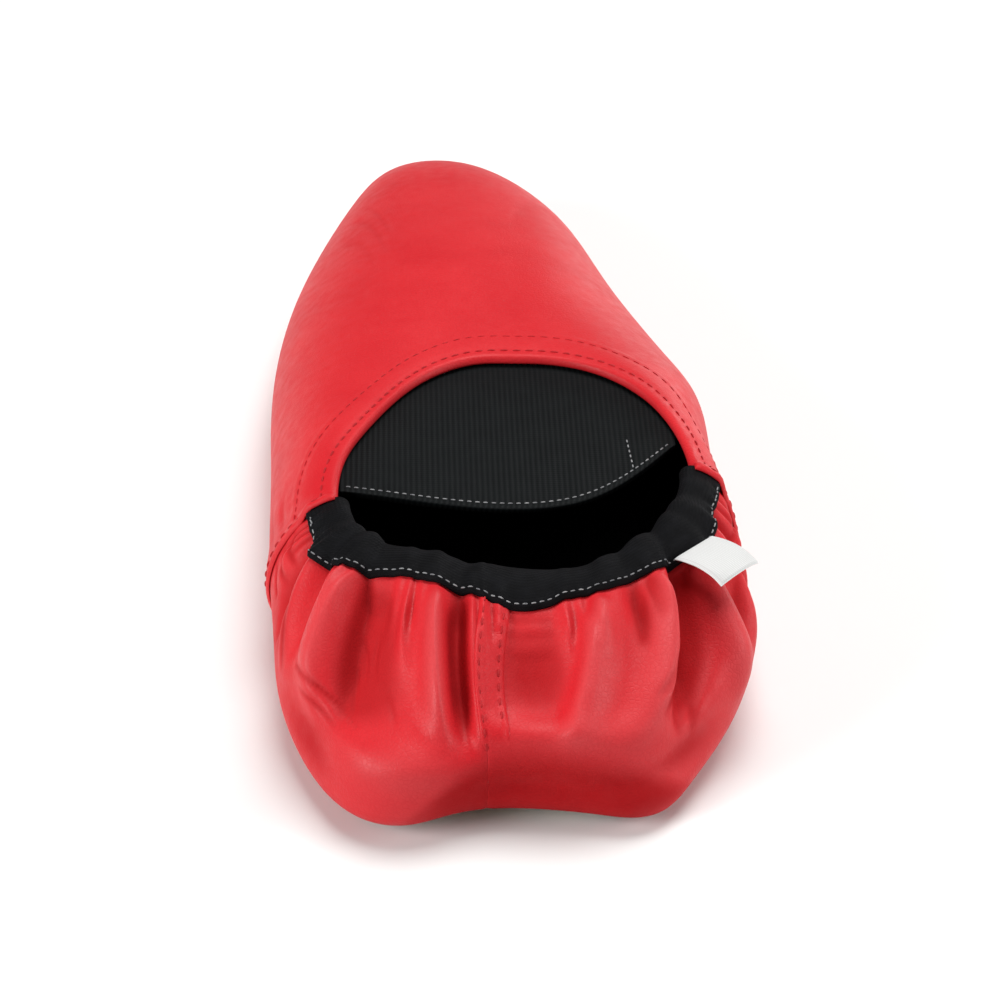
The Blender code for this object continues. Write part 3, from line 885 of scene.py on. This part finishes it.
def leather_panel(name, places, heights, offsets, leather, **measures):
    """Panel between an outer and an inner offset from the plain wall."""
    outer, inner = (on_wall(places, heights, offset) for offset in offsets)
    closed_sheet(name, "upper", outer, inner, leather, "red_leather", **measures)


def add_quarter(name, start, end, leather, columns=230, rows=150):
    places = np.linspace(start, end, columns)[:, None]
    heights = np.linspace(0, 1, rows)[None, :]
    offsets = quarter_offsets(places, heights)
    relief = offsets[0] - WALL
    # Painted shade in the gathers' hollows, the heel's lowest band and the fine creases
    hollow = np.maximum(hollow_of(relief), painted_low_shade(places, heights))
    hollow = np.maximum(hollow, CREASE_SHADE * painted_crease_shade(places, heights))
    # Painted highlight on the ridges
    leather_panel(name, places, heights, offsets, leather, hollow=hollow, ridge=ridge_of(relief))


def strip_offsets(place, height):
    """Outer and inner offset of the back seam's strip, which lies on the quarters."""
    under = quarter_offsets(place, height)[0] + back_groove(place)
    rise = (STRIP_RISE + STRIP_SUNK / 2) * smooth((height - STRIP_LOW) / STRIP_FADE) - STRIP_SUNK / 2
    return under + rise, under - STRIP_SUNK


def strip_bow(height):
    """Sideways bow of the strip, which the gathers pull in."""
    return STRIP_BOW * bell((height - STRIP_BOW_AT) / STRIP_BOW_SPREAD)


def add_back_strip(leather, columns=36, rows=190):
    heights = np.linspace(STRIP_LOW - STRIP_TAIL, 1.0, rows)[None, :]
    places = np.linspace(STRIP_LEFT, STRIP_RIGHT, columns)[:, None] + strip_bow(heights)
    outer, inner = strip_offsets(places, heights)
    side = from_sides(plain_wall(places, heights), 0)
    outer = inner + (outer - inner) * rounded(side, STRIP_ROUND, STRIP_EDGE_LEFT)
    outer = outer - STRIP_GROOVE * bell((side - STRIP_GROOVE_IN) / STRIP_GROOVE_HALF)
    # Painted shade in the strip's hollows
    leather_panel("back_strip", places, heights, (outer, inner), leather, hollow=hollow_of(outer - WALL))


def from_seam(place):
    """Distance of the vamp's ring places from its nearer side seam."""
    return np.minimum(np.abs(place - SEAM_OUT), np.abs(place - SEAM_IN))


def lap_relief(place):
    """Rise of the vamp where it laps over the quarters."""
    return LAP_RISE * smooth(1 - from_seam(place) / LAP_FADE)


def corner_relief(place, height):
    """Swell of the vamp's corners, which lap over the binding's ends."""
    upper = smooth((height - CORNER_FROM) / CORNER_RUN)
    return CORNER_RISE * upper * smooth(CORNER_FADES_AT - from_seam(place) / CORNER_REACH)


def vamp_offsets(place, height, wall):
    """Outer and inner offset of the vamp: lapped side seams, turned throat edge and stitched grooves."""
    depth = run_from(wall, 1, last=True)
    seam_run = from_sides(wall, 0)
    turned = TURNED_RISE * (1 - smooth((depth - TURNED_EDGE) / TURNED_RUN))
    corner = corner_relief(place, height)
    dents = dent_relief(place, height)
    outer = WALL + lap_relief(place) + turned + dents + corner + crease_relief(place, height)
    for row in THROAT_ROWS:
        outer = outer - GROOVE * bell((depth - row) / GROOVE_HALF)
    outer = outer - GROOVE * bell((seam_run - SIDE_GROOVE_IN) / GROOVE_HALF)
    over = (WALL + LAP_CLEAR) * smooth(1 - from_seam(place) / LAP_INNER_FADE)
    inner = np.minimum(over + np.minimum(dents, 0) + corner, outer - VAMP_THINNEST)
    outer = inner + (outer - inner) * rounded(np.minimum(depth, seam_run), EDGE_ROUND, EDGE_LEFT)
    return outer, inner


def add_vamp(leather, columns=380, rows=122):
    places = np.linspace(SEAM_OUT, SEAM_IN, columns)[:, None]
    crowded = 1 - np.linspace(1, 0, rows) ** EDGE_CROWDING
    heights = crowded[None, :] * edge_depths(places[:, 0])(0.0)[:, None]
    offsets = vamp_offsets(places, heights, plain_wall(places, heights))
    # Painted shade in the vamp's creases
    leather_panel("vamp", places, heights, offsets, leather,
                  hollow=VAMP_CREASE_SHADE * painted_crease_shade(places, heights))


def lining_flange(places):
    """Line of the lining's foot, turned in above the sock."""
    plan = foot_line(places, LINING_FLANGE)[0]
    return over_sole(plan, SOLE_THICK + INSOLE_THICK + 2 * GAP)


def add_lining(cloth, fine=230, coarse=130, rows=60):
    """Lining of the whole upper, with closer columns behind the gathers."""
    heel_end = SEAM_OUT + LINING_PAST_SEAM
    sides = np.linspace(heel_end, ROWS - heel_end, coarse)
    heel = np.linspace(ROWS - heel_end, ROWS + heel_end, fine)
    places = np.concatenate([sides[:-1], heel])[:, None]
    heights = np.linspace(LINING_FOOT, LINING_TOP, rows)[None, :] * edge_depths(places[:, 0])(0.0)[:, None]
    past_seam = np.abs(near_place(places)) - SEAM_OUT
    on_vamp = smooth(past_seam / UNDER_LAP - LINING_CHANGE)
    vamp_face = np.minimum(dent_relief(places, heights), 0)
    face = quarter_offsets(places, heights)[1] * (1 - on_vamp) + vamp_face * on_vamp
    flange = lining_flange(places)
    raised = flange + np.array([0.0, 0.0, LINING - LINING_CLEAR])
    outer = np.concatenate([flange, on_wall(places, heights, face - LINING_CLEAR)], 1)
    inner = np.concatenate([raised, on_wall(places, heights, face - LINING)], 1)
    closed_sheet("lining", "upper", outer, inner, cloth, "black_textile",
                 along=run_from(outer, 0), across=run_from(outer, 1))


# Elastic collar


def binding_depth(place):
    """How far down the binding's outer leaf reaches at ring places."""
    knots = np.array(list(SCALLOPS))
    extra = np.array(list(SCALLOPS.values())) * MM
    first = np.clip(np.searchsorted(knots, place) - 1, 0, len(knots) - 2)
    share = smooth((place - knots[first]) / (knots[first + 1] - knots[first]))
    return BINDING_DEPTH + extra[first] * (1 - share) + extra[first + 1] * share


def binding_leaf(places, depth, shares, outside):
    """Upper and under face of one leaf of the tape, on the leather outside or on the lining inside."""
    height_at = edge_depths(places)
    rows = []
    for share in shares:
        height = height_at(depth * share)
        outer, inner = quarter_offsets(places, height)
        thick = TAPE * rounded(depth * (1 - share), TAPE_ROUND, EDGE_LEFT)
        skin, face = (outer + GAP, thick) if outside else (inner - LINING - GAP, -thick)
        rows.append((on_wall(places, height, skin + face), on_wall(places, height, skin)))
    return rows


def binding_turn(places, steps):
    """Upper and under face of the tape's round over the collar's edge."""
    normal, upward = wall_axes(places, 1.0)
    outer, inner = quarter_offsets(places, np.ones(len(places)))
    high = outer + GAP
    low = inner - LINING - GAP
    middle = on_wall(places, 1.0, (high + low) / 2)
    radius = (high - low)[:, None] / 2
    rows = []
    for turn in np.linspace(0, np.pi, steps + 2)[1:-1]:
        swing = np.cos(turn) * normal + np.sin(turn) * upward
        rows.append((middle + (radius + TAPE) * swing, middle + radius * swing))
    return rows


def add_binding(tape, columns=420, leaf=14, over=10):
    """Elastic tape folded over the collar's edge: outer leaf, round over the edge, inner leaf."""
    places = np.linspace(SEAM_IN - ROWS + BINDING_END, SEAM_OUT - BINDING_END, columns)
    rows = binding_leaf(places, binding_depth(places), np.linspace(1, 0, leaf), True)
    rows += binding_turn(places, over)
    rows += binding_leaf(places, BINDING_INSIDE, np.linspace(0, 1, leaf), False)
    upper, under = (np.stack(face, 1) for face in zip(*rows))
    closed_sheet("collar_tape", "collar_binding", upper, under, tape, "black_binding",
                 along=run_from(upper, 0), across=run_from(upper, 1))


def add_binding_stitches(thread, steps=400):
    places = np.linspace(SEAM_IN - ROWS + BINDING_STITCH_END, SEAM_OUT - BINDING_STITCH_END, steps)
    height = edge_depths(places)(binding_depth(places) - BINDING_STITCH_IN)
    offset = quarter_offsets(places, height)[0] + GAP + TAPE
    wall_stitches("binding_stitches", places, height, offset, thread, "black_binding",
                  pitch=FINE_STITCH, thread=FINE_THREAD)


# Gusset


def gusset_rows(columns=200, hidden_rows=10, taut_rows=60):
    """Lines of the gusset's upper face: hidden margin under the vamp, then taut to the free rear edge."""
    places = np.linspace(GUSSET_OUT, GUSSET_IN, columns)
    height_at = edge_depths(places)
    hidden = []
    for depth in np.linspace(GUSSET_MARGIN, 0.0, hidden_rows):
        height = height_at(depth)
        offset = np.minimum(dent_relief(places, height), 0) - LINING - GAP
        hidden.append(on_wall(places, height, offset))
    throat = hidden[-1]
    share = np.linspace(0, 1, columns)[:, None]
    rear = throat[0] * (1 - share) + throat[-1] * share
    turn = share ** BOW_SKEW
    bow = np.sin(np.pi * turn) ** np.where(turn < 0.5, BOW_OUT, BOW_IN)
    rear = rear - bow * np.array([0.0, GUSSET_SAG, GUSSET_DIP]) - np.array([0.0, GUSSET_END_CLEAR, 0.0])
    taut = [throat + (rear - throat) * t for t in np.linspace(0, 1, taut_rows)[1:]]
    return np.stack(hidden + taut, 1)


def line_at(values, run, distance):
    """Values of each column of a grid at a distance from its last line."""
    return np.array([along_path(v[::-1], r[::-1], distance) for v, r in zip(values, run)])


def add_gusset(elastic, thread):
    top = gusset_rows()
    normal = unit(np.cross(np.gradient(top, axis=0), np.gradient(top, axis=1)))
    from_rear = run_from(top, 1, last=True)
    hem = 1 + GUSSET_HEM_MORE * (1 - smooth((from_rear - GUSSET_HEM) / GUSSET_HEM_RUN))
    hem = hem * rounded(from_rear, TAPE_ROUND, GUSSET_EDGE_LEFT)
    under = top - (GUSSET_THICK * hem)[..., None] * normal
    closed_sheet("gusset", "elastic_gusset", top, under, elastic, "black_elastic",
                 across=top[..., 0], along=top[..., 1])
    sewn = slice(GUSSET_BARE_COLUMNS, -GUSSET_BARE_COLUMNS)
    path, raised = (line_at(values, from_rear, GUSSET_STITCH_IN)[sewn] for values in (top, normal))
    stitch_row("gusset_stitches", path, raised, thread, "black_elastic", FINE_STITCH, FINE_THREAD)
    column = int(GUSSET_TACK_AT * len(top))
    inside = (from_rear[column] > GUSSET_STITCH_IN) & (from_rear[column] < GUSSET_TACK)
    stitch_row("gusset_tack", top[column][inside], normal[column][inside], thread, "black_elastic",
               FINE_STITCH, FINE_THREAD)


# Seams' stitches on the leather


def add_throat_stitches(thread, steps=900):
    places = np.linspace(SEAM_OUT + THROAT_STITCH_END, SEAM_IN - THROAT_STITCH_END, steps)
    height_at = edge_depths(places)
    for number, (depth, thick) in enumerate(zip(THROAT_ROWS, THROAT_THREADS)):
        height = height_at(depth)
        offset = WALL + TURNED_RISE - GROOVE + dent_relief(places, height) + THROAT_THREAD_UP * thick
        offset = offset + lap_relief(places) + corner_relief(places, height)
        wall_stitches(f"throat_stitches_{number}", places, height, offset, thread, thread=thick)


def add_back_stitches(thread, steps=300):
    for name, (place, lowest) in STRIP_ROWS.items():
        heights = np.linspace(lowest, STRIP_STITCH_TOP, steps)
        line = place + strip_bow(heights)
        offset = strip_offsets(line, heights)[0] + STRIP_STITCH_UP
        wall_stitches(f"back_stitches_{name}", line, heights, offset, thread)


def add_side_stitches(thread, steps=300):
    heights = np.linspace(SIDE_STITCH_LOW, SIDE_STITCH_TOP, steps)
    for name, place in SIDE_ROWS.items():
        line = np.full(heights.shape, place)
        offset = WALL + LAP_RISE + SIDE_STITCH_UP + dent_relief(line, heights) + corner_relief(line, heights)
        wall_stitches(f"side_stitches_{name}", line, heights, offset, thread)


# Sole, sock and label


def sole_points(inset, rise):
    """Grid of a full sole, heel to toe and outer to inner edge, at a height above the underside."""
    share = 0.5 - 0.5 * np.cos(np.linspace(0, np.pi, SOLE_ACROSS + 1))[:, None]
    toe_place = ROWS / 2
    places = np.linspace(HEEL_ARC, toe_place - TOE_ARC, SOLE_ALONG + 1)[1:-1]
    rows = [foot_line(HEEL_ARC * (1 - 2 * share[:, 0]), inset)[0]]
    for place in places:
        outer_edge, inner_edge = foot_line(np.array([place, -place]), inset)[0]
        rows.append(outer_edge * (1 - share) + inner_edge * share)
    rows.append(foot_line(toe_place - TOE_ARC * (1 - 2 * share[:, 0]), inset)[0])
    return over_sole(np.stack(rows), rise)


def add_sole(name, node, inset, rise, thick, material, slot, groove=0.0):
    low = sole_points(inset, rise)
    high = low + np.array([0.0, 0.0, thick])
    side = np.minimum(from_sides(low, 0), from_sides(low, 1))
    edge = 1 - rounded(side, SOLE_ROUND)
    low[..., 2] += SOLE_EDGE_LOW * thick * edge + groove * bell((side - SOLE_STITCH_IN) / GROOVE_HALF)
    high[..., 2] -= SOLE_EDGE_HIGH * thick * edge
    closed_sheet(name, node, high, low, material, slot, along=low[..., 1], across=low[..., 0])


def add_sole_stitches(thread, steps=1200):
    """Stitches round the sole, sunk in its groove."""
    plan = foot_line(np.linspace(0, ROWS, steps), GAP + SOLE_STITCH_IN)[0]
    down = np.tile([0.0, 0.0, -1.0], (steps, 1))
    stitch_row("sole_stitches", over_sole(plan, SOLE_STITCH_SUNK), down, thread, "suede", pitch=SOLE_STITCH)


def label_lift(face, outward, upward):
    """How far the label must be raised so that the leather under it stays behind it."""
    places, heights = np.meshgrid(np.linspace(LABEL_FROM, LABEL_TO, LABEL_STEPS),
                                  np.linspace(LABEL_OVER_LOW, LABEL_OVER_TOP, LABEL_STEPS))
    leather = on_wall(places, heights, quarter_offsets(places, heights)[0]).reshape(-1, 3)
    sideways = np.cross(upward, outward)
    flat = face.reshape(-1, 3)
    away = np.hypot((leather[:, None] - flat) @ sideways, (leather[:, None] - flat) @ upward)
    nearest = away.argmin(1)
    under = away.min(1) < LABEL_NEAR
    over = (leather - flat[nearest])[under] @ outward
    return max(over.max() + LABEL_THICK + GAP, 0.0)


def add_label(tape, columns=30, rows=30):
    """Folded tab whose upper edge is caught under the binding's lower edge and whose free end stands off."""
    ends = np.array([LABEL_FROM, LABEL_TO])
    height = edge_depths(ends)(binding_depth(ends) - LABEL_TUCK)
    skin = quarter_offsets(ends, height)[0] + GAP / 2
    left, right = on_wall(ends, height, skin + LABEL_THICK)
    outward, upward = (unit(axes.sum(0)) for axes in wall_axes(ends, height))
    across = np.linspace(0, 1, columns)[:, None, None]
    drop = np.linspace(1, 0, rows)[None, :, None]
    face = left + (right - left) * (across + LABEL_SLANT * drop) - LABEL_DROP * drop * upward
    stand = LABEL_FLARE * drop + LABEL_CURL * arch(across) * drop ** 2 + LABEL_BULGE * arch(drop)
    face = face + stand * outward
    face = face + label_lift(face, outward, upward) * outward
    side = np.minimum(across, 1 - across)[..., 0] * np.linalg.norm(right - left)
    free = (1 - drop[..., 0]) * LABEL_DROP
    inset = LABEL_THICK / 2 * (1 - rounded(np.minimum(side, free), LABEL_THICK / 2))
    outer = face - inset[..., None] * outward
    inner = face - (LABEL_THICK - inset)[..., None] * outward
    closed_sheet("label", "label_tab", outer, inner, tape, "white_label",
                 along=run_from(face, 0), across=run_from(face, 1))


# Stage


def add_floor():
    corners = [(x * FLOOR_HALF, y * FLOOR_HALF, 0) for x, y in ((-1, -1), (1, -1), (1, 1), (-1, 1))]
    mesh = bpy.data.meshes.new("floor")
    mesh.from_pydata(corners, [], [(0, 1, 2, 3)])
    s = Surface("pale_floor", 0.6, Specular_IOR_Level=0.2)
    s.colour(s.mix(s.ramp(s.noise(6, 2), 0.3, 0.7), (0.825, 0.840, 0.828), (0.845, 0.860, 0.848)))
    mesh.materials.append(s.made)
    placed("floor", mesh)


def aim(obj, spot, target):
    obj.location = spot
    obj.rotation_euler = (Vector(target) - Vector(spot)).to_track_quat("-Z", "Y").to_euler()


def add_lamp(name, spot, size, power):
    lamp = bpy.data.lights.new(name, "AREA")
    lamp.shape = "DISK"
    lamp.size = size
    lamp.energy = power
    aim(placed(name, lamp), spot, LAMP_AIM)


def add_stage():
    add_floor()
    for name, settings in LAMPS.items():
        add_lamp(name, *settings)
    world = bpy.data.worlds.new("studio")
    world.use_nodes = True
    background = world.node_tree.nodes["Background"]
    background.inputs["Color"].default_value = (1.0, 1.0, 1.0, 1.0)
    background.inputs["Strength"].default_value = WORLD_STRENGTH
    bpy.context.scene.world = world
    bpy.context.scene.view_settings.view_transform = "Standard"


def add_camera():
    camera = bpy.data.cameras.new("camera")
    camera.sensor_width = SENSOR
    camera.lens = SENSOR * PHOTO_FOCAL / PHOTO_SIZE * CAMERA_ZOOM
    camera.clip_start = CAMERA_CLIP
    obj = placed("camera", camera)
    aim(obj, CAMERA_SPOT, CAMERA_AIM)
    bpy.context.scene.camera = obj


leather = red_leather()
add_vamp(leather)
add_quarter("quarter_outer", BACK_SEAM, SEAM_OUT + UNDER_LAP, leather)
add_quarter("quarter_inner", SEAM_IN - ROWS - UNDER_LAP, BACK_SEAM, leather)
add_back_strip(leather)
red = sewing_thread("red_thread", 0.6, 0.25, 900, (0.34, 0.006, 0.010), (0.46, 0.011, 0.016))
add_throat_stitches(red)
add_back_stitches(red)
add_side_stitches(red)
add_lining(black_cloth("lining_cloth", 0.9 * MM))
pale = sewing_thread("pale_thread", 0.65, 0.25, 700, (0.13, 0.13, 0.14), (0.34, 0.34, 0.34))
add_binding(black_tape())
add_binding_stitches(pale)
add_gusset(ribbed_elastic(), pale)
add_sole("sole", "outsole", GAP, 0.0, SOLE_THICK, suede(), "suede", groove=SOLE_GROOVE)
add_sole_stitches(sewing_thread("sole_thread", 0.7, 0.2, 700, (0.30, 0.24, 0.17), (0.48, 0.40, 0.30)))
add_sole("sock", "insole", INSOLE_INSET, SOLE_THICK + GAP, INSOLE_THICK, black_cloth("sock_cloth", 1.1 * MM),
         "black_textile")
add_label(label_tape())
add_stage()
add_camera()
